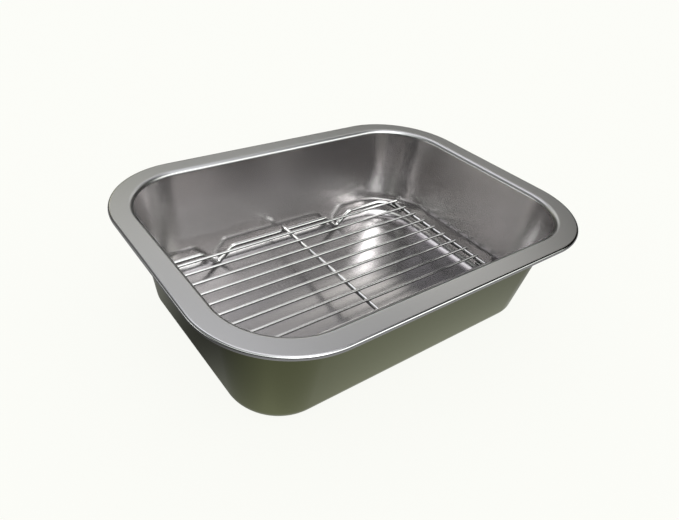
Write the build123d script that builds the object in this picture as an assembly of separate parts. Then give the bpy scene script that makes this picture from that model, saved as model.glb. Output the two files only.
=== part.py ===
from build123d import *
import os
from math import cos, radians, sqrt, tan

# A pressed sheet-steel roasting pan with a loose wire rack standing in it.
# X runs along the pan, Y across it and Z up. The origin is the centre of the pan's base.
# All lengths are in millimetres and all angles in degrees.

# Pan. The mouth is where the inner wall would meet the top of the flange in a sharp corner.
pan_length = 350.0
pan_width = 258.0
pan_height = 93.3
sheet = 0.9
flange_width = 18.2
mouth_corner_radius = 53.3
wall_lean = 8.9
floor_fillet = 10.0
mouth_bend = 3.8
curl_diameter = 3.8
curl_turn = 265.0
floor_lap = 5.0

# Room left around the rack, up to the line where each wall would meet the floor in a sharp corner.
# The rack is pushed to the back, so its back feet stand on the edge of the floor's fillet.
gap_left = 5.8
gap_right = 7.4
gap_back = 4.2
gap_front = 25.5
corner_room = 24.8
stand_gap = 0.3

# Rack wires
long_wire_count = 10
long_wire_diameter = 2.5
cross_wire_diameter = 4.0
foot_wire_diameter = 4.0
weld_set = 0.5
wire_overhang = 2.5
end_chamfer = 0.3
middle_cross_shift = -1.4
end_cross_overhang = 2.5

# Foot wires: two feet bent down as a V, and ends bent round to lie under the end cross wires
foot_drop = 12.9
left_foot_inset = 59.5
right_foot_inset = 67.7
leg_angle = 42.0
foot_top_bend = 5.0
foot_tip_bend = 4.5
foot_tail = 12.0

# Where the wall's foot and the flat of the floor lie, seen from the mouth's outline
mouth_half_length = pan_length / 2 - flange_width
mouth_half_width = pan_width / 2 - flange_width
wall_run = (pan_height - sheet) * tan(radians(wall_lean))
corner_share = tan(radians(90 - wall_lean) / 2)
foot_half_length = mouth_half_length - wall_run
foot_half_width = mouth_half_width - wall_run
rack_corner_bend = mouth_corner_radius - wall_run - corner_room
floor_inset = wall_run + floor_fillet * corner_share
floor_half_length = mouth_half_length - floor_inset
floor_half_width = mouth_half_width - floor_inset

# Where the rack's wires lie
left_end = gap_left - foot_half_length
right_end = foot_half_length - gap_right
cross_left = left_end + wire_overhang
cross_right = right_end - wire_overhang
cross_middle = (cross_left + cross_right) / 2 + middle_cross_shift
foot_back = foot_half_width - gap_back - foot_wire_diameter / 2
foot_front = gap_front + foot_wire_diameter / 2 - foot_half_width
wire_pitch = (foot_back - foot_front) / (long_wire_count + 1)
past_flat = max(0, foot_back - floor_half_width)
tip_to_fillet_centre = floor_fillet - stand_gap - foot_wire_diameter / 2
tip_level = sheet + floor_fillet - sqrt(tip_to_fillet_centre**2 - past_flat**2)
run_level = tip_level + foot_drop
cross_level = run_level + (foot_wire_diameter + cross_wire_diameter) / 2 - weld_set
long_level = cross_level + (cross_wire_diameter + long_wire_diameter) / 2 - weld_set


def mouth_path():
    """The mouth's outline, a rounded rectangle that the pan's section follows."""
    corners = [
        (-mouth_half_length, -mouth_half_width),
        (mouth_half_length, -mouth_half_width),
        (mouth_half_length, mouth_half_width),
        (-mouth_half_length, mouth_half_width),
    ]
    return FilletPolyline(*corners, radius=mouth_corner_radius, close=True)


def skin_line(depth):
    """The section's line at a depth under the top skin, from the floor to the rolled edge's end."""
    shift = depth * corner_share
    curl_start = flange_width - curl_diameter / 2
    bends = FilletPolyline(
        (-floor_inset - floor_lap, sheet - depth),
        (shift - wall_run, sheet - depth),
        (shift, pan_height - depth),
        (curl_start, pan_height - depth),
        radius=(floor_fillet + depth, mouth_bend - depth),
    )
    centre = (curl_start, pan_height - curl_diameter / 2)
    return bends + CenterArc(centre, curl_diameter / 2 - depth, 90, -curl_turn)


def pan_section(path):
    """The sheet's section: a strip of floor, the wall, the flange and its rolled edge."""
    outward = (path % 0).cross(Vector(0, 0, 1))
    plane = Plane(origin=path @ 0, x_dir=outward, z_dir=-(path % 0))
    top = skin_line(0)
    under = skin_line(sheet)
    return plane * make_face(top + under + Line(top @ 0, under @ 0) + Line(top @ 1, under @ 1))


def pan_body():
    """One pressed sheet: the section carried round the mouth, closed by the flat of the floor."""
    path = mouth_path()
    wall = sweep(pan_section(path), path=path)
    half_length = floor_half_length - floor_lap
    half_width = floor_half_width - floor_lap
    corner_radius = mouth_corner_radius - floor_inset - floor_lap
    flat = RectangleRounded(2 * half_length, 2 * half_width, corner_radius)
    return wall + extrude(flat, sheet)


def straight_wire(start, end, diameter):
    """A cut length of wire with its two ends chamfered."""
    axis = Vector(*end) - Vector(*start)
    rod = Solid.make_cylinder(diameter / 2, axis.length, Plane(origin=start, z_dir=axis))
    return chamfer(rod.edges().filter_by(GeomType.CIRCLE), end_chamfer)


def long_wires():
    """The grid's thin wires, side by side along the rack."""
    wires = []
    for place in range(1, long_wire_count + 1):
        y = foot_front + place * wire_pitch
        start = (left_end, y, long_level)
        end = (right_end, y, long_level)
        wires.append(straight_wire(start, end, long_wire_diameter))
    return wires


def cross_wire(x, inset, grid):
    """A cross wire, its ends at an inset from the foot wires, with a seat under each long wire."""
    start = (x, foot_front + inset, cross_level)
    end = (x, foot_back - inset, cross_level)
    return straight_wire(start, end, cross_wire_diameter) - grid


def foot_points(y, inward):
    """The corners of a foot wire, from left tail to right tail, with the radii of its bends."""
    tip_excess = foot_tip_bend * (1 / cos(radians(leg_angle)) - 1)
    tip = tip_level - tip_excess
    half_spread = (run_level - tip) / tan(radians(leg_angle))
    tail_y = y + inward * (rack_corner_bend + foot_tail)
    points = [(cross_left, tail_y, run_level), (cross_left, y, run_level)]
    radii = [rack_corner_bend]
    for x in (cross_left + left_foot_inset, cross_right - right_foot_inset):
        points += [(x - half_spread, y, run_level), (x, y, tip), (x + half_spread, y, run_level)]
        radii += [foot_top_bend, foot_tip_bend, foot_top_bend]
    points += [(cross_right, y, run_level), (cross_right, tail_y, run_level)]
    radii.append(rack_corner_bend)
    return points, radii


def foot_wire(y, inward, cross_wires):
    """A wire bent into two V feet and two tails, with a seat pressed into it by each cross wire."""
    points, radii = foot_points(y, inward)
    path = FilletPolyline(*points, radius=radii)
    section = Plane(origin=path @ 0, z_dir=path % 0) * Circle(foot_wire_diameter / 2)
    return sweep(section, path=path) - cross_wires


def write_parts():
    """Writes one STEP file for each piece."""
    pieces = {"pan_body": pan_body()}
    grid = long_wires()
    for place, wire in enumerate(grid, start=1):
        pieces[f"long_wire_{place:02d}"] = wire
    end_inset = wire_pitch - end_cross_overhang
    left_cross = cross_wire(cross_left, end_inset, grid)
    middle_cross = cross_wire(cross_middle, -foot_wire_diameter / 2, grid)
    right_cross = cross_wire(cross_right, end_inset, grid)
    crosses = [left_cross, middle_cross, right_cross]
    for place, wire in zip(("left", "middle", "right"), crosses):
        pieces[f"cross_wire_{place}"] = wire
    pieces["foot_wire_front"] = foot_wire(foot_front, 1, crosses)
    pieces["foot_wire_back"] = foot_wire(foot_back, -1, crosses)
    os.makedirs("parts", exist_ok=True)
    for name, piece in pieces.items():
        export_step(piece, f"parts/{name}.step")


if __name__ == "__main__":
    write_parts()
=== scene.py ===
import math

import bpy
import numpy as np
from bpy.props import FloatProperty, FloatVectorProperty, IntProperty, PointerProperty
from mathutils import Matrix, Vector


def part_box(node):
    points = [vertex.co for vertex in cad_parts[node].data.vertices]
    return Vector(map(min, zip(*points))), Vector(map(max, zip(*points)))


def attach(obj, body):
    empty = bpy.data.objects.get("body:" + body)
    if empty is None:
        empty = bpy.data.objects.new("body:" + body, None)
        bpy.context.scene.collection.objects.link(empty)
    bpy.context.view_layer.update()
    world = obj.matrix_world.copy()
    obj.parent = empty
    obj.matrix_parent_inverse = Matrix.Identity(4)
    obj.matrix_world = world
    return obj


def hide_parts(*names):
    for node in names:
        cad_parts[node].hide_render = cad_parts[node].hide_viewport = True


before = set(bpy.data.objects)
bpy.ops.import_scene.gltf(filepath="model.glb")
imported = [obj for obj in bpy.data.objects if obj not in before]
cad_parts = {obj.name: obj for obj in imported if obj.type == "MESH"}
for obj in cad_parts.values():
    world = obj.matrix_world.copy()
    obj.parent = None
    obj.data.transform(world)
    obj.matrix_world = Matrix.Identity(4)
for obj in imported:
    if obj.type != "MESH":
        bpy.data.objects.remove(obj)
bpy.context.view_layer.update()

bl_info = {
    "name": "Roasting Pan with Rack",
    "version": (1, 0, 0),
    "blender": (4, 5, 0),
    "location": "View3D > Sidebar > Roasting Pan",
    "description": "Builds a drawn steel roasting pan and its wire rack around their solid model",
    "category": "Mesh",
}

PAN_NODE = "pan_body"
LONG_NODES = sorted(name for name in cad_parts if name.startswith("long_wire"))
CROSS_NODES = ("cross_wire_left", "cross_wire_middle", "cross_wire_right")
FOOT_NODES = ("foot_wire_front", "foot_wire_back")
PAN_LOW, PAN_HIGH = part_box(PAN_NODE)

# The pan's section: faces on each arc, and places along each straight run as shares of it.
FILLET_STEPS = 14
BEND_STEPS = 10
ROLL_STEPS = 28
WALL_SHARES = (0.01, 0.2, 0.4, 0.6, 0.8, 0.99)
FLANGE_SHARES = (0.03, 0.5, 0.97)
# The floor's rings: shares of the reach from a corner's centre, then shares of the last such ring.
FLOOR_SHARES = (0.96, 0.5, 0.02)
CENTRE_SHARES = (0.985, 0.6, 0.3)
# Rows of the section over which one finish gives way to the next, and rows of the rolled edge
# before the outside's finish, with its painted olive reflection, starts.
FADE_ROWS = 3.0
ROLL_ROWS = 12

# Points along a wire: on each bend, on a plain straight wire, and across each weld.
BEND_POINTS = 11
STRAIGHT_POINTS = 24
WELD_POINTS = 9
# A weld's points reach this many widths to each side.
WELD_REACH = 2
# Longest step along a foot wire, and the rounding by which equal places are merged, in metres.
FOOT_STEP = 0.004
PLACE_DIGITS = 6
PLACE_ROOM = 1e-7
# The painted shade on a wire's underside starts where the surface's upward slant falls to the first
# of these, and is full where it has fallen by the second. A wire's cut ends have half of it.
UNDER_START = 0.6
UNDER_FALL = 0.5
UNDER_AT_ENDS = 0.5

# Mottling of the sheet and of the wires: the noise's scale per metre, and the amount.
SHEET_MOTTLE = (28.0, 0.03)
WIRE_MOTTLE = (220.0, 0.15)
# Drawing marks on the wires: the noise's scale per metre, their height in metres, and strength.
MARK_SCALE = 2500.0
MARK_HEIGHT = 0.00005
MARK_STRENGTH = 0.02

PHOTO_WIDTH = 679
PHOTO_HEIGHT = 520
SENSOR_WIDTH = 36.0

# The floor's half width, and how far it and the table's disc lie under the pan, in metres.
FLOOR_HALF = 6.0
FLOOR_DROP = 0.0002
TABLE_DROP = 0.0001
# The dome's columns and rings, and the height of its last ring in degrees.
ROOM_COLUMNS = 120
ROOM_RINGS = 45
ROOM_TOP = 88
# The outline of the pan's base as shares of its rim, and the disc's rings outside that outline.
BASE_LENGTH_SHARE = 0.8
BASE_WIDTH_SHARE = 0.74
TABLE_RINGS = (-0.05, 0.0, 0.006, 0.012, 0.02, 0.03, 0.045, 0.07, 0.12, 0.3, 1.0, 3.5)

# Each soft light or shade of the room: turn and height, width and tallness in degrees,
# and linear colour.
SOFT_LIGHTS = (
    ("window", 266, 51, 23, 18, (3.0, 3.1, 3.05)),
    ("left_window", 259, 49, 29, 14, (2.4, 2.45, 2.45)),
    ("low_window", 315, 25, 20, 11, (2.6, 2.68, 2.55)),
    ("window_side", 296, 34, 27, 9, (2.0, 2.0, 2.0)),
    ("window_top", 264, 52, 24, 19, (2.5, 2.6, 2.55)),
    ("back_wall", 46, 33, 42, 5, (1.77, 1.75, 1.67)),
    ("back_ceiling", 96, 54, 43, 9, (1.57, 1.57, 1.66)),
    ("right_shade", 352, 29, 20, 15, (-2.6, -2.6, -2.6)),
    ("left_shade", 141, 54, 26, 8, (-1.5, -1.5, -1.5)),
    ("left_glow", 152, 3, 18, 7, (3.05, 3.1, 3.0)),
    ("left_wall", 204, 40, 49, 7, (1.85, 1.95, 1.85)),
    ("ceiling", 0, 77, 300, 14, (1.5, 1.5, 1.55)),
    ("back_shade", 60, 20, 18, 6, (-0.95, -0.9, -1.1)),
    ("back_left_lamp", 89, 22, 13, 4, (1.45, 1.45, 1.15)),
)
# The table's shaded side: turn and width in degrees, and how much darker it is.
TABLE_SHADE_TURN = 176
TABLE_SHADE_WIDTH = 32
TABLE_SHADE = 0.30


def length_property(name, description, default):
    """A length in metres, shown in the scene's own length unit."""
    return FloatProperty(
        name=name, description=description, default=default, unit="LENGTH", precision=5
    )


def angle_property(name, description, degrees):
    """An angle, given in degrees and kept in radians."""
    return FloatProperty(
        name=name, description=description, default=math.radians(degrees), unit="ROTATION"
    )


def pixel_property(name, description, default):
    """A distance in pixels of the photograph."""
    return FloatProperty(name=name, description=description, default=default, subtype="PIXEL")


def share_property(name, description, default):
    """A number from nought to one."""
    return FloatProperty(
        name=name, description=description, default=default, min=0, max=1, subtype="FACTOR"
    )


def colour_property(name, description, default):
    """A linear colour."""
    return FloatVectorProperty(
        name=name, description=description, default=default, size=3, subtype="COLOR"
    )


class PanSizes(bpy.types.PropertyGroup):
    """The pan's section, carried round a rounded rectangle."""

    sheet: length_property("Sheet", "Thickness of the steel sheet", 0.0009)
    flange_width: length_property("Flange", "From the mouth's corner line to the rim", 0.0182)
    mouth_corner_radius: length_property("Mouth corner", "Corner radius of the mouth", 0.0533)
    wall_lean: angle_property("Wall lean", "Lean of the walls", 8.9)
    floor_fillet: length_property("Floor fillet", "Inner radius between wall and floor", 0.010)
    mouth_bend: length_property("Mouth bend", "Outer radius between wall and flange", 0.0038)
    curl_diameter: length_property("Rolled edge", "Diameter of the rolled edge", 0.0038)
    curl_turn: angle_property("Roll", "Turn of the rolled edge", 265)
    corner_steps: IntProperty(
        name="Corner steps", description="Faces round each corner", default=40, min=4
    )
    side_steps: IntProperty(
        name="Side steps", description="Faces along each straight side", default=12, min=1
    )


class RackSizes(bpy.types.PropertyGroup):
    """The rack's bends and welds. Its wires' places and thicknesses come from their solids."""

    end_chamfer: length_property("End chamfer", "Chamfer on a cut wire's end", 0.0003)
    corner_bend: length_property("Corner bend", "Bend radius of a foot wire's corner", 0.01403)
    foot_tail: length_property("Foot tail", "Straight end of a foot wire", 0.012)
    left_foot_inset: length_property("Left foot", "From the left cross wire to the foot", 0.0595)
    right_foot_inset: length_property("Right foot", "From the right cross wire to the foot", 0.0677)
    leg_angle: angle_property("Leg angle", "Slope of a foot's legs", 42)
    foot_top_bend: length_property("Top bend", "Bend radius where a leg leaves the run", 0.005)
    foot_tip_bend: length_property("Tip bend", "Bend radius of a foot's tip", 0.0045)
    weld_bead: length_property("Weld bead", "How far the metal swells at a weld", 0.0003)
    weld_width: length_property("Weld width", "Half length of the swelling along a wire", 0.0014)
    sides: IntProperty(name="Sides", description="Faces round a wire", default=20, min=6)


class SteelLook(bpy.types.PropertyGroup):
    """Colours and gloss of the two steels, with a painted olive reflection outside the pan and
    painted shade under the wires.
    """

    inside_colour: colour_property("Inside", "Satin steel inside the pan", (0.61, 0.59, 0.59))
    flange_colour: colour_property("Flange", "Satin steel of the flange", (0.57, 0.57, 0.57))
    # Painted reflection: the outside's olive stands for the green surroundings reflected in the
    # bare steel.
    outside_painted_reflection: colour_property("Outside", "Painted olive reflection outside", (0.190, 0.205, 0.105))
    wire_colour: colour_property("Wire", "Polished wire", (0.76, 0.76, 0.75))
    # Painted shade: a near-black colour on each wire's downward-facing side, standing in for the
    # shade and dark reflections under it.
    underside_painted_shade: colour_property("Wire underside", "Painted shade on the underside", (0.10, 0.10, 0.10))
    inside_roughness: share_property("Inside roughness", "Spread of reflections inside", 0.23)
    flange_roughness: share_property("Flange roughness", "Spread on the flange", 0.30)
    roll_roughness: share_property("Rolled edge roughness", "Spread on the rolled edge", 0.16)
    outside_roughness: share_property("Outside roughness", "Spread of reflections outside", 0.28)
    wire_roughness: share_property("Wire roughness", "Spread of reflections on the wires", 0.08)


class StudioSettings(bpy.types.PropertyGroup):
    """The camera, the floor, and the room and table that the steel reflects."""

    azimuth: angle_property("Azimuth", "Camera's turn about the pan", -39.26)
    elevation: angle_property("Elevation", "Camera's height over the horizon", 35.18)
    roll: angle_property("Roll", "Camera's roll", 6.44)
    distance: length_property("Distance", "From the camera to the point it aims at", 0.55523)
    aim_x: length_property("Aim X", "Where the camera aims, along the pan", 0.00879)
    aim_y: length_property("Aim Y", "Where the camera aims, across the pan", 0.05401)
    focal_pixels: pixel_property("Focal length", "Focal length of the camera", 570.96)
    centre_x: pixel_property("Centre X", "Where the lens axis meets the photograph", 312.17)
    centre_y: pixel_property("Centre Y", "Where the lens axis meets the photograph", 259.80)
    floor_colour: colour_property("Floor", "Pale floor and backdrop", (0.975, 0.98, 0.94))
    floor_glow: share_property("Floor glow", "Share of the floor's colour free of shadow", 0.94)
    room_radius: length_property("Room", "Radius of the dome that the steel sees", 3.9)
    room_rise: FloatProperty(
        name="Room rise", description="How bright the plain room is overhead", default=0.14
    )
    table_base: FloatProperty(
        name="Table base", description="The table's plain brightness in the steel", default=0.35
    )
    table_near: FloatProperty(
        name="Table near", description="How much brighter it is beside the pan", default=1.0
    )
    table_fade: length_property("Table fade", "How far that brightness falls off", 0.027)


def arc_line(centre, radius, start, turn, steps):
    """Points on a circle's arc: centre plus radius times (cos, sin) of evenly spaced angles."""
    angle = np.linspace(start, start + turn, steps + 1)
    across = centre[0] + radius * np.cos(angle)
    up = centre[1] + radius * np.sin(angle)
    return np.stack([across, up], axis=1)


def run_line(start, end, shares):
    """Points on a straight run: start plus each share of the way to its end."""
    return start + (end - start) * np.array(shares)[:, None]


def skin(sizes, height, depth):
    """One skin of the sheet, from the flat of the floor to the rolled edge's end, as (offset, z).

    Straight runs joined by tangent arcs: the floor's fillet, the bend at the mouth and the roll.
    Offset is measured outwards from the mouth's line, and depth inwards from the top skin.
    """
    lean = sizes.wall_lean
    turn = math.pi / 2 - lean
    half_corner = math.tan(turn / 2)
    wall_run = (height - sizes.sheet) * math.tan(lean)
    fillet = sizes.floor_fillet + depth
    bend = sizes.mouth_bend - depth
    foot = depth * half_corner - wall_run
    top = depth * half_corner
    roll_radius = sizes.curl_diameter / 2
    fillet_centre = (foot - fillet * half_corner, sizes.sheet - depth + fillet)
    bend_centre = (top + bend * half_corner, height - depth - bend)
    roll_centre = (sizes.flange_width - roll_radius, height - roll_radius)
    fillet_arc = arc_line(fillet_centre, fillet, -math.pi / 2, turn, FILLET_STEPS)
    bend_arc = arc_line(bend_centre, bend, math.pi - lean, -turn, BEND_STEPS)
    roll_arc = arc_line(roll_centre, roll_radius - depth, math.pi / 2, -sizes.curl_turn, ROLL_STEPS)
    wall = run_line(fillet_arc[-1], bend_arc[0], WALL_SHARES)
    flange = run_line(bend_arc[-1], roll_arc[0], FLANGE_SHARES)
    return np.vstack([fillet_arc, wall, bend_arc, flange, roll_arc])


def ring_base(half_length, half_width, radius, corner_steps, side_steps):
    """The path round the mouth as corner centres and outward directions, one row for each step.

    At each corner the base stays at the corner's centre while the direction turns a quarter turn,
    and along each side the base moves from one corner's centre to the next.
    """
    x = half_length - radius
    y = half_width - radius
    corners = np.array([(x, y), (-x, y), (-x, -y), (x, -y)])
    quarter = np.pi / 2
    base = []
    turned = []
    for place, corner in enumerate(corners):
        base.append(np.repeat(corner[None], corner_steps + 1, axis=0))
        turned.append(quarter * place + np.linspace(0, quarter, corner_steps + 1))
        share = np.linspace(0, 1, side_steps + 1)[1:-1, None]
        following = corners[(place + 1) % len(corners)]
        base.append(corner + (following - corner) * share)
        turned.append(np.full(side_steps - 1, quarter * (place + 1)))
    turned = np.concatenate(turned)
    return np.vstack(base), np.stack([np.cos(turned), np.sin(turned)], axis=1)


def grid_faces(rows, columns):
    """Quads between neighbouring rows and columns, with the columns closed into a ring."""
    row, column = np.meshgrid(np.arange(rows - 1), np.arange(columns), indexing="ij")
    following = (column + 1) % columns
    here = row * columns
    beyond = here + columns
    corners = [here + column, here + following, beyond + following, beyond + column]
    return np.stack(corners, axis=-1).reshape(-1, 4)


def fan_faces(first, columns, centre, outward):
    """Triangles from one ring to a centre point, turned the other way unless outward."""
    column = np.arange(columns)
    pair = [first + column, first + (column + 1) % columns]
    if not outward:
        pair.reverse()
    return np.stack([*pair, np.full(columns, centre)], axis=1)


def add_mesh(name, points, faces, material):
    """A smooth mesh object at the origin from an array of points and a list of face arrays."""
    mesh = bpy.data.meshes.new(name)
    polygons = [face for block in faces for face in block.tolist()]
    mesh.from_pydata(points.tolist(), [], polygons)
    mesh.polygons.foreach_set("use_smooth", np.ones(len(mesh.polygons), dtype=bool))
    mesh.materials.append(material)
    mesh.update()
    piece = bpy.data.objects.new(name, mesh)
    bpy.context.scene.collection.objects.link(piece)
    return piece


def set_point_value(mesh, name, values):
    """A named number on each point of a mesh."""
    attribute = mesh.attributes.new(name, "FLOAT", "POINT")
    attribute.data.foreach_set("value", values.astype(np.float32))


def floor_rings(base, direction, reach, level):
    """The rings of the floor's flat at one level, from its edge inwards.

    Each is the base plus a share of the reach times the direction, down to a sliver,
    and then that last ring times a share.
    """
    rings = [base + reach * share * direction for share in FLOOR_SHARES]
    rings += [rings[-1] * share for share in CENTRE_SHARES]
    flat = np.stack(rings)
    return np.concatenate([flat, np.full(flat.shape[:2] + (1,), level)], axis=2)


def pan_surface(sizes):
    """The pan's whole skin as points, faces, and masks of its outside, flange and rolled edge.

    The point at step u of the path and step v of the section is base(u) + (corner radius +
    offset(v)) times direction(u), at the height z(v). The floor's flat is closed by rings that
    shrink to a single centre point above and below.
    """
    height = PAN_HIGH.z - PAN_LOW.z
    half_length = PAN_HIGH.x - sizes.flange_width
    half_width = PAN_HIGH.y - sizes.flange_width
    radius = sizes.mouth_corner_radius
    steps = (sizes.corner_steps, sizes.side_steps)
    base, direction = ring_base(half_length, half_width, radius, *steps)
    upper = skin(sizes, height, 0.0)
    lower = skin(sizes, height, sizes.sheet)[::-1]
    section = np.vstack([upper, lower])
    reach = np.maximum(radius + section[:, 0], 0)
    walls = base[None] + reach[:, None, None] * direction[None]
    heights = np.broadcast_to(section[:, 1, None, None], walls.shape[:2] + (1,))
    floor_reach = radius + upper[0, 0]
    floor_top = floor_rings(base, direction, floor_reach, upper[0, 1])
    floor_under = floor_rings(base, direction, floor_reach, lower[-1, 1])
    walls = np.concatenate([walls, heights], axis=2)
    rings = np.concatenate([floor_top[::-1], walls, floor_under], axis=0)
    count, columns = rings.shape[:2]
    centres = np.array([(0, 0, upper[0, 1]), (0, 0, lower[-1, 1])])
    points = np.vstack([rings.reshape(-1, 3), centres])
    faces = [
        grid_faces(count, columns),
        fan_faces(0, columns, count * columns, False),
        fan_faces((count - 1) * columns, columns, count * columns + 1, True),
    ]
    wall_end = len(floor_top) + FILLET_STEPS + len(WALL_SHARES)
    roll_start = len(floor_top) + len(upper) - (ROLL_STEPS + 1)
    row = np.repeat(np.arange(count), columns)
    outside = np.clip((row - roll_start - ROLL_ROWS) / FADE_ROWS, 0, 1)
    roll = np.clip(row - roll_start, 0, 1) * (1 - outside)
    flange = np.clip((row - wall_end) / FADE_ROWS, 0, 1) * (1 - outside)
    masks = {
        "outside": np.append(outside, [0, 1]),
        "flange": np.append(flange, [0, 0]),
        "roll": np.append(roll, [0, 0]),
    }
    return points, faces, masks


def tube_surface(path, thickness, sides, chamfer, swell=None):
    """A wire as points, faces and a mask of the painted shade on its underside.

    A circle is carried along the path, across its direction and turned so that its first axis is
    level, with a chamfer and a closed face at each end. swell is a function of the path and the
    circle's angles that gives the extra radius. The mask is (start - upward slant) / fall, kept
    between nought and one.
    """
    ahead = np.gradient(path, axis=0)
    ahead /= np.linalg.norm(ahead, axis=1)[:, None]
    level = np.cross(ahead, (0.0, 0.0, 1.0))
    level /= np.linalg.norm(level, axis=1)[:, None]
    up = np.cross(level, ahead)
    radius = np.full(len(path), thickness / 2)
    radius[[0, -1]] -= chamfer
    angle = np.linspace(0, 2 * np.pi, sides, endpoint=False)
    reach = radius[:, None] * np.ones(sides)[None]
    if swell is not None:
        reach = reach + swell(path, angle)
    turned = angle[None, :, None]
    across = np.cos(turned) * level[:, None] + np.sin(turned) * up[:, None]
    # Mask of the painted shade: full where the wire's surface faces down.
    under = np.clip((UNDER_START - across[..., 2]) / UNDER_FALL, 0, 1)
    rings = path[:, None] + reach[..., None] * across
    count = len(path)
    points = np.vstack([rings.reshape(-1, 3), path[:1], path[-1:]])
    faces = [
        grid_faces(count, sides),
        fan_faces(0, sides, count * sides, False),
        fan_faces((count - 1) * sides, sides, count * sides + 1, True),
    ]
    return points, faces, np.append(under.ravel(), [UNDER_AT_ENDS, UNDER_AT_ENDS])


def bent_line(corners, radii, chamfer, step):
    """A path of straight runs joined by tangent arcs, one arc for each inner corner.

    Each arc starts and ends its radius times the tangent of half the turn from its corner.
    """
    corners = np.asarray(corners, float)
    line = [corners[:1]]
    for place, radius in enumerate(radii, start=1):
        before = corners[place] - corners[place - 1]
        after = corners[place + 1] - corners[place]
        before /= np.linalg.norm(before)
        after /= np.linalg.norm(after)
        turn = math.acos(float(np.clip(before @ after, -1, 1)))
        start = corners[place] - before * radius * math.tan(turn / 2)
        inward = after - before * (before @ after)
        inward /= np.linalg.norm(inward)
        angle = np.linspace(0, turn, BEND_POINTS)[:, None]
        line.append(start + radius * (before * np.sin(angle) + inward * (1 - np.cos(angle))))
    line.append(corners[-1:])
    runs = np.vstack(line)
    gaps = np.linalg.norm(np.diff(runs, axis=0), axis=1)
    travelled = np.concatenate([[0], np.cumsum(gaps)])
    length = travelled[-1]
    extra = np.arange(step, length, step)
    places = np.concatenate([travelled, extra, (chamfer, length - chamfer)])
    places = np.unique(np.round(places, PLACE_DIGITS))
    return np.stack([np.interp(places, travelled, runs[:, axis]) for axis in range(3)], axis=1)


def straight_line(low, high, axis, chamfer, stops, width):
    """A straight wire's centre line along its box, with close steps at each weld."""
    first, last = low[axis], high[axis]
    places = [np.linspace(first, last, STRAIGHT_POINTS), (first + chamfer, last - chamfer)]
    near_weld = width * np.linspace(-WELD_REACH, WELD_REACH, WELD_POINTS)
    places += [stop + near_weld for stop in stops]
    place = np.unique(np.round(np.concatenate(places), PLACE_DIGITS))
    place = place[(place >= first - PLACE_ROOM) & (place <= last + PLACE_ROOM)]
    line = np.repeat((low + high)[None] / 2, len(place), axis=0)
    line[:, axis] = place
    return line


def weld_swell(axis, stops, bead, width, side):
    """The extra radius at welds: a bell curve along the wire for each, times the part of the
    circle that faces them."""

    def swell(path, angle):
        away = path[:, axis, None] - np.asarray(stops)[None]
        bell = np.exp(-((away / width) ** 2)).sum(axis=1)
        facing = np.clip(side * np.sin(angle), 0, 1)
        return bead * bell[:, None] * facing[None]

    return swell


def node_box(name):
    """The two corners of a solid, as arrays."""
    low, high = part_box(name)
    return np.array(low), np.array(high)


def node_middle(name, axis):
    """The middle of a solid along one axis."""
    low, high = node_box(name)
    return float(low[axis] + high[axis]) / 2


def foot_corners(sizes, low, high, left, right):
    """A foot wire's corners, the radii of its bends and its thickness, from its solid's box.

    A foot's legs spread by their drop over the tangent of their slope. Its tip's corner lies
    below the tip by the bend radius times (1 / cos slope - 1).
    """
    thickness = 2 * (left - low[0])
    inward = 1 if low[1] < 0 else -1
    y = (low[1] if inward > 0 else high[1]) + inward * thickness / 2
    run = high[2] - thickness / 2
    tip = low[2] + thickness / 2 - sizes.foot_tip_bend * (1 / math.cos(sizes.leg_angle) - 1)
    spread = (run - tip) / math.tan(sizes.leg_angle)
    tail_y = y + inward * (sizes.corner_bend + sizes.foot_tail)
    corners = [(left, tail_y, run), (left, y, run)]
    radii = [sizes.corner_bend]
    for x in (left + sizes.left_foot_inset, right - sizes.right_foot_inset):
        corners += [(x - spread, y, run), (x, y, tip), (x + spread, y, run)]
        radii += [sizes.foot_top_bend, sizes.foot_tip_bend, sizes.foot_top_bend]
    corners += [(right, y, run), (right, tail_y, run)]
    radii.append(sizes.corner_bend)
    return corners, radii, thickness


def new_material(name):
    """A node material, with its tree and its shader."""
    material = bpy.data.materials.new(name)
    material.use_nodes = True
    tree = material.node_tree
    return material, tree, tree.nodes["Principled BSDF"]


def feed(tree, value, socket):
    """Links another node's output to a socket, or sets a plain value on it."""
    if isinstance(value, bpy.types.NodeSocket):
        tree.links.new(value, socket)
    else:
        socket.default_value = value


def add_node(tree, kind, **values):
    """A node with its settings and inputs set by name."""
    node = tree.nodes.new(kind)
    for key, value in values.items():
        if key in node.inputs:
            node.inputs[key].default_value = value
        else:
            setattr(node, key, value)
    return node


def add_math(tree, operation, *values):
    """The output of a maths node fed with sockets or plain values."""
    node = add_node(tree, "ShaderNodeMath", operation=operation)
    for value, socket in zip(values, node.inputs):
        feed(tree, value, socket)
    return node.outputs[0]


def point_value(tree, name):
    """The number that each point of the mesh carries under a name."""
    return add_node(tree, "ShaderNodeAttribute", attribute_name=name).outputs["Fac"]


def mix_by(tree, kind, factor, first, second):
    """A mix of two values or sockets of one data type, by a socket for the factor."""
    node = add_node(tree, "ShaderNodeMix", data_type=kind)
    # The places of the factor, the two values and the result among the mix node's sockets.
    places = {"FLOAT": (0, 2, 3, 0), "RGBA": (0, 6, 7, 2)}[kind]
    for value, place in zip((factor, first, second), places):
        feed(tree, value, node.inputs[place])
    return node.outputs[places[3]]


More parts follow.
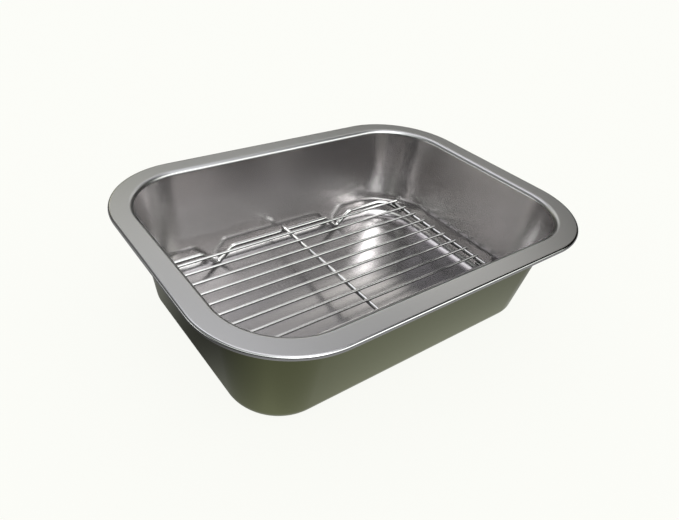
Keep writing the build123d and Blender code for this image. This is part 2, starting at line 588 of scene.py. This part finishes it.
def mottle_group():
    """A shader group: the soft mottling of drawn and lightly polished steel.

    Mottling is 1 + Amount times (noise - 0.5).
    """
    name = "Steel Mottle"
    if name in bpy.data.node_groups:
        return bpy.data.node_groups[name]
    group = bpy.data.node_groups.new(name, "ShaderNodeTree")
    face = group.interface
    face.new_socket("Vector", in_out="INPUT", socket_type="NodeSocketVector")
    face.new_socket("Scale", in_out="INPUT", socket_type="NodeSocketFloat")
    face.new_socket("Amount", in_out="INPUT", socket_type="NodeSocketFloat")
    face.new_socket("Mottling", in_out="OUTPUT", socket_type="NodeSocketFloat")
    source = group.nodes.new("NodeGroupInput")
    result = group.nodes.new("NodeGroupOutput")
    noise = add_node(group, "ShaderNodeTexNoise", Detail=3.0, Roughness=0.5)
    group.links.new(source.outputs["Vector"], noise.inputs["Vector"])
    group.links.new(source.outputs["Scale"], noise.inputs["Scale"])
    centred = add_math(group, "SUBTRACT", noise.outputs["Fac"], 0.5)
    spread = add_math(group, "MULTIPLY_ADD", centred, source.outputs["Amount"], 1.0)
    group.links.new(spread, result.inputs["Mottling"])
    return group


def new_steel(name, scale, amount):
    """A metal material, its tree and shader, its own coordinates and its mottling."""
    material, tree, shader = new_material(name)
    shader.inputs["Metallic"].default_value = 1.0
    place = add_node(tree, "ShaderNodeTexCoord").outputs["Object"]
    mottle = add_node(tree, "ShaderNodeGroup", node_tree=mottle_group())
    for key, value in (("Vector", place), ("Scale", scale), ("Amount", amount)):
        feed(tree, value, mottle.inputs[key])
    return material, tree, shader, place, mottle.outputs["Mottling"]


def finish_steel(tree, shader, mottling, colour, roughness):
    """Gives the shader its colour and roughness, both times the mottling."""
    tinted = add_node(tree, "ShaderNodeVectorMath", operation="SCALE")
    feed(tree, colour, tinted.inputs[0])
    feed(tree, mottling, tinted.inputs["Scale"])
    feed(tree, tinted.outputs[0], shader.inputs["Base Color"])
    feed(tree, add_math(tree, "MULTIPLY", roughness, mottling), shader.inputs["Roughness"])


def pan_material(look):
    """Satin sheet steel: grey inside and on the flange, glossier on the rolled edge, and outside
    a painted olive reflection of the surroundings, with faint mottling."""
    material, tree, shader, _place, mottling = new_steel("satin_sheet_steel", *SHEET_MOTTLE)
    outside, flange, roll = (point_value(tree, name) for name in ("outside", "flange", "roll"))
    inner = mix_by(tree, "RGBA", flange, (*look.inside_colour, 1), (*look.flange_colour, 1))
    # Painted reflection: the outside mask swaps in the olive that stands for the reflected
    # surroundings.
    colour = mix_by(tree, "RGBA", outside, inner, (*look.outside_painted_reflection, 1))
    inner_rough = mix_by(tree, "FLOAT", flange, look.inside_roughness, look.flange_roughness)
    upper_rough = mix_by(tree, "FLOAT", roll, inner_rough, look.roll_roughness)
    rough = mix_by(tree, "FLOAT", outside, upper_rough, look.outside_roughness)
    finish_steel(tree, shader, mottling, colour, rough)
    return material


def wire_material(look):
    """Polished wire: bright above, with painted shade on its underside, with mottling and faint
    drawing marks.
    """
    material, tree, shader, place, mottling = new_steel("polished_wire", *WIRE_MOTTLE)
    under = point_value(tree, "under")
    # Painted shade: the underside mask darkens the wire's colour where it faces down.
    colour = mix_by(tree, "RGBA", under, (*look.wire_colour, 1), (*look.underside_painted_shade, 1))
    finish_steel(tree, shader, mottling, colour, look.wire_roughness)
    marks = add_node(tree, "ShaderNodeTexNoise", Scale=MARK_SCALE, Detail=2.0, Roughness=0.6)
    bump = add_node(tree, "ShaderNodeBump", Strength=MARK_STRENGTH, Distance=MARK_HEIGHT)
    feed(tree, place, marks.inputs["Vector"])
    feed(tree, marks.outputs["Fac"], bump.inputs["Height"])
    feed(tree, bump.outputs["Normal"], shader.inputs["Normal"])
    return material


def shared_material(name, make, look):
    """The material of that name, made once."""
    return bpy.data.materials.get(name) or make(look)


def add_wire(context, name, line, thickness, swell=None):
    """Adds a wire along a line. It rides with the rack and stands for its solid."""
    sizes = context.scene.roaster_rack
    points, faces, under = tube_surface(line, thickness, sizes.sides, sizes.end_chamfer, swell)
    material = shared_material("polished_wire", wire_material, context.scene.roaster_steel)
    piece = add_mesh(f"{name}_polished", points, faces, material)
    set_point_value(piece.data, "under", under)
    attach(piece, "rack")
    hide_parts(name)


def add_straight_wires(context, names, crossed, axis, side):
    """Adds straight wires along one axis, swollen at their welds to the wires they cross.

    side is 1 where the welds lie on top of the wires and -1 where they lie underneath. A wire
    along X has its thickness in Z, free of the seats cut into its side, and one along Y has it
    in X.
    """
    sizes = context.scene.roaster_rack
    stops = [node_middle(name, axis) for name in crossed]
    swell = weld_swell(axis, stops, sizes.weld_bead, sizes.weld_width, side)
    for name in names:
        low, high = node_box(name)
        line = straight_line(low, high, axis, sizes.end_chamfer, stops, sizes.weld_width)
        add_wire(context, name, line, (high - low)[axis - 1], swell)


class OBJECT_OT_pan(bpy.types.Operator):
    """Build the pan as one sheet carried round its mouth"""

    bl_idname = "roaster.pan"
    bl_label = "Build Pan"

    def execute(self, context):
        points, faces, masks = pan_surface(context.scene.roaster_pan)
        look = context.scene.roaster_steel
        material = shared_material("satin_sheet_steel", pan_material, look)
        piece = add_mesh("pan_sheet", points, faces, material)
        for name, values in masks.items():
            set_point_value(piece.data, name, values)
        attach(piece, "pan")
        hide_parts(PAN_NODE)
        return {"FINISHED"}


class OBJECT_OT_long_wires(bpy.types.Operator):
    """Build the rack's long wires with a weld bead over each cross wire"""

    bl_idname = "roaster.long_wires"
    bl_label = "Build Long Wires"

    def execute(self, context):
        add_straight_wires(context, LONG_NODES, CROSS_NODES, 0, -1)
        return {"FINISHED"}


class OBJECT_OT_cross_wires(bpy.types.Operator):
    """Build the cross wires that carry the long ones"""

    bl_idname = "roaster.cross_wires"
    bl_label = "Build Cross Wires"

    def execute(self, context):
        add_straight_wires(context, CROSS_NODES, LONG_NODES, 1, 1)
        return {"FINISHED"}


class OBJECT_OT_foot_wires(bpy.types.Operator):
    """Build the two outer wires, each bent into two feet and two tails"""

    bl_idname = "roaster.foot_wires"
    bl_label = "Build Foot Wires"

    def execute(self, context):
        sizes = context.scene.roaster_rack
        left = node_middle(CROSS_NODES[0], 0)
        right = node_middle(CROSS_NODES[-1], 0)
        for name in FOOT_NODES:
            corners, radii, thickness = foot_corners(sizes, *node_box(name), left, right)
            line = bent_line(corners, radii, sizes.end_chamfer, FOOT_STEP)
            add_wire(context, name, line, thickness)
        return {"FINISHED"}


class OBJECT_OT_studio(bpy.types.Operator):
    """Set the floor, the sky, the room and table that the steel reflects, and the camera"""

    bl_idname = "roaster.studio"
    bl_label = "Build Studio"

    def execute(self, context):
        studio = context.scene.roaster_studio
        add_floor(studio)
        add_sky(context, studio)
        add_room(studio)
        add_table(studio)
        add_camera(context, studio)
        context.scene.view_settings.view_transform = "Standard"
        return {"FINISHED"}


def seen_by_eye(tree):
    """One for what the camera sees, straight or in metal or glass, and nought for the rest."""
    rays = tree.nodes.new("ShaderNodeLightPath").outputs
    first = add_math(tree, "MAXIMUM", rays["Is Camera Ray"], rays["Is Glossy Ray"])
    return add_math(tree, "MAXIMUM", first, rays["Is Transmission Ray"])


def add_floor(studio):
    """A wide pale floor that shows as the background and keeps the pan's shadow faintly."""
    material, tree, shader = new_material("pale_floor")
    shader.inputs["Base Color"].default_value = (*studio.floor_colour, 1)
    shader.inputs["Roughness"].default_value = 1.0
    shader.inputs["Specular IOR Level"].default_value = 0.0
    shown = add_node(tree, "ShaderNodeEmission", Color=(*studio.floor_colour, 1), Strength=1.0)
    share = add_math(tree, "MULTIPLY", seen_by_eye(tree), studio.floor_glow)
    mixed = tree.nodes.new("ShaderNodeMixShader")
    for value, socket in zip((share, shader.outputs[0], shown.outputs[0]), mixed.inputs):
        tree.links.new(value, socket)
    tree.links.new(mixed.outputs[0], tree.nodes["Material Output"].inputs["Surface"])
    half, level = FLOOR_HALF, PAN_LOW.z - FLOOR_DROP
    corners = [(-half, -half), (half, -half), (half, half), (-half, half)]
    points = np.array([(x, y, level) for x, y in corners])
    floor = add_mesh("floor", points, [np.array([[0, 1, 2, 3]])], material)


def add_sky(context, studio):
    """A plain pale sky that lights the floor and shows behind it."""
    world = bpy.data.worlds.new("studio_sky")
    context.scene.world = world
    world.use_nodes = True
    sky = world.node_tree.nodes["Background"]
    sky.inputs["Color"].default_value = (*studio.floor_colour, 1)
    sky.inputs["Strength"].default_value = 1.0


def glow_material():
    """A glow whose colour each point of the mesh carries."""
    material, tree, shader = new_material("studio_glow")
    tree.nodes.remove(shader)
    colour = add_node(tree, "ShaderNodeAttribute", attribute_name="glow")
    glow = add_node(tree, "ShaderNodeEmission", Strength=1.0)
    tree.links.new(colour.outputs["Color"], glow.inputs["Color"])
    tree.links.new(glow.outputs[0], tree.nodes["Material Output"].inputs["Surface"])
    return material


def turn_away(azimuth, turn):
    """How far each direction lies from a turn, in degrees from -180 to 180."""
    return (azimuth - turn + 180) % 360 - 180


def room_light(studio, azimuth, elevation):
    """The room's linear colour at each direction, in degrees.

    A rise with the sine of the elevation, plus one bell for each soft light: colour times
    exp(-(turn away / width)^2 - (height away / tallness)^2), never below nought.
    """
    rise = studio.room_rise * np.sin(np.radians(elevation))
    bright = np.repeat(rise[:, None], 3, axis=1)
    for _name, turn, height, wide, tall, colour in SOFT_LIGHTS:
        away = turn_away(azimuth, turn) / wide
        bell = np.exp(-(away**2) - ((elevation - height) / tall) ** 2)
        bright = bright + bell[:, None] * np.array(colour)
    return np.maximum(bright, 0)


def table_light(studio, azimuth, away):
    """The table's linear grey in the steel, at each turn in degrees and distance from the pan.

    The base less the shade times exp(-(turn away / width)^2), all of it times
    1 + near * exp(-away / fade).
    """
    bell = np.exp(-((turn_away(azimuth, TABLE_SHADE_TURN) / TABLE_SHADE_WIDTH) ** 2))
    bright = studio.table_base - TABLE_SHADE * bell
    near = 1 + studio.table_near * np.exp(-np.maximum(away, 0) / studio.table_fade)
    return np.repeat((bright * near)[:, None], 3, axis=1)


def round_points(reach, turns, height):
    """Points at a reach and a turn in degrees about the upright axis, and at a height."""
    x = reach * np.cos(np.radians(turns))
    y = reach * np.sin(np.radians(turns))
    return np.stack([x, y, np.broadcast_to(height, x.shape)], axis=-1).reshape(-1, 3)


def add_room(studio):
    """The room as the steel sees it: a dome of even turns and elevations, closed at the top."""
    turn = np.linspace(0, 360, ROOM_COLUMNS, endpoint=False)
    turns, elevations = np.meshgrid(turn, np.linspace(0, ROOM_TOP, ROOM_RINGS))
    reach = studio.room_radius * np.cos(np.radians(elevations))
    dome = round_points(reach, turns, studio.room_radius * np.sin(np.radians(elevations)))
    dome = np.vstack([dome, [(0, 0, studio.room_radius)]])
    last_ring = (ROOM_RINGS - 1) * ROOM_COLUMNS
    faces = [
        grid_faces(ROOM_RINGS, ROOM_COLUMNS),
        fan_faces(last_ring, ROOM_COLUMNS, len(dome) - 1, True),
    ]
    glow = room_light(studio, np.append(turns.ravel(), 0), np.append(elevations.ravel(), 90))
    add_glow("room_dome", dome, faces, glow)


def add_table(studio):
    """The table as the steel sees it: a disc in rings round the outline of the pan's base.

    That outline's reach is 1 / max(|cos turn| / half length, |sin turn| / half width).
    """
    turn = np.linspace(0, 360, ROOM_COLUMNS, endpoint=False)
    turns, gaps = np.meshgrid(turn, TABLE_RINGS)
    along = np.abs(np.cos(np.radians(turns))) / (BASE_LENGTH_SHARE * PAN_HIGH.x)
    across = np.abs(np.sin(np.radians(turns))) / (BASE_WIDTH_SHARE * PAN_HIGH.y)
    reach = 1 / np.maximum(along, across) + gaps
    disc = round_points(reach, turns, PAN_LOW.z - TABLE_DROP)
    shine = table_light(studio, turns.ravel(), gaps.ravel())
    add_glow("table_card", disc, [grid_faces(len(TABLE_RINGS), ROOM_COLUMNS)], shine)


def add_glow(name, points, faces, glow):
    """A glowing stage piece that only reflections show."""
    material = bpy.data.materials.get("studio_glow") or glow_material()
    card = add_mesh(name, points, faces, material)
    attribute = card.data.attributes.new("glow", "FLOAT_VECTOR", "POINT")
    attribute.data.foreach_set("vector", glow.astype(np.float32).ravel())
    card.visible_camera = False
    card.visible_diffuse = False
    card.visible_shadow = False


def add_camera(context, studio):
    """The photograph's camera, from its turn, height, roll, distance and lens."""
    azimuth, elevation, roll = studio.azimuth, studio.elevation, studio.roll
    back = Vector((
        math.sin(azimuth) * math.cos(elevation),
        -math.cos(azimuth) * math.cos(elevation),
        math.sin(elevation),
    ))
    right = Vector((math.cos(azimuth), math.sin(azimuth), 0.0))
    up = back.cross(right)
    turned_right = math.cos(roll) * right + math.sin(roll) * up
    turned_up = math.cos(roll) * up - math.sin(roll) * right
    lens = bpy.data.cameras.new("photo_camera")
    lens.sensor_width = SENSOR_WIDTH
    lens.lens = studio.focal_pixels * SENSOR_WIDTH / PHOTO_WIDTH
    lens.shift_x = (PHOTO_WIDTH / 2 - studio.centre_x) / PHOTO_WIDTH
    lens.shift_y = (studio.centre_y - PHOTO_HEIGHT / 2) / PHOTO_WIDTH
    camera = bpy.data.objects.new("photo_camera", lens)
    turn = Matrix((turned_right, turned_up, back)).transposed().to_4x4()
    place = Vector((studio.aim_x, studio.aim_y, 0.0)) + studio.distance * back
    camera.matrix_world = Matrix.Translation(place) @ turn
    context.scene.collection.objects.link(camera)
    context.scene.camera = camera


class VIEW3D_PT_roaster(bpy.types.Panel):
    """Lists the pieces and their sizes"""

    bl_idname = "VIEW3D_PT_roaster"
    bl_label = "Roasting Pan"
    bl_space_type = "VIEW_3D"
    bl_region_type = "UI"
    bl_category = "Roasting Pan"

    def draw(self, context):
        for group, operators in LAYOUT:
            box = self.layout.box()
            settings = getattr(context.scene, group)
            for name in settings.__annotations__:
                box.prop(settings, name)
            for operator in operators:
                box.operator(operator)


GROUPS = {
    "roaster_pan": PanSizes,
    "roaster_rack": RackSizes,
    "roaster_steel": SteelLook,
    "roaster_studio": StudioSettings,
}
LAYOUT = (
    ("roaster_pan", ("roaster.pan",)),
    ("roaster_rack", ("roaster.long_wires", "roaster.cross_wires", "roaster.foot_wires")),
    ("roaster_steel", ()),
    ("roaster_studio", ("roaster.studio",)),
)
CLASSES = (
    *GROUPS.values(),
    OBJECT_OT_pan,
    OBJECT_OT_long_wires,
    OBJECT_OT_cross_wires,
    OBJECT_OT_foot_wires,
    OBJECT_OT_studio,
    VIEW3D_PT_roaster,
)


def register():
    """Registers the classes and hangs each group of settings on the scene."""
    for item in CLASSES:
        bpy.utils.register_class(item)
    for name, group in GROUPS.items():
        setattr(bpy.types.Scene, name, PointerProperty(type=group))


def unregister():
    """Takes the settings and the classes away again."""
    for name in GROUPS:
        delattr(bpy.types.Scene, name)
    for item in reversed(CLASSES):
        bpy.utils.unregister_class(item)


def main():
    """Builds everything in order."""
    register()
    for _group, operators in LAYOUT:
        for operator in operators:
            category, action = operator.split(".")
            getattr(getattr(bpy.ops, category), action)()


if __name__ == "__main__":
    main()
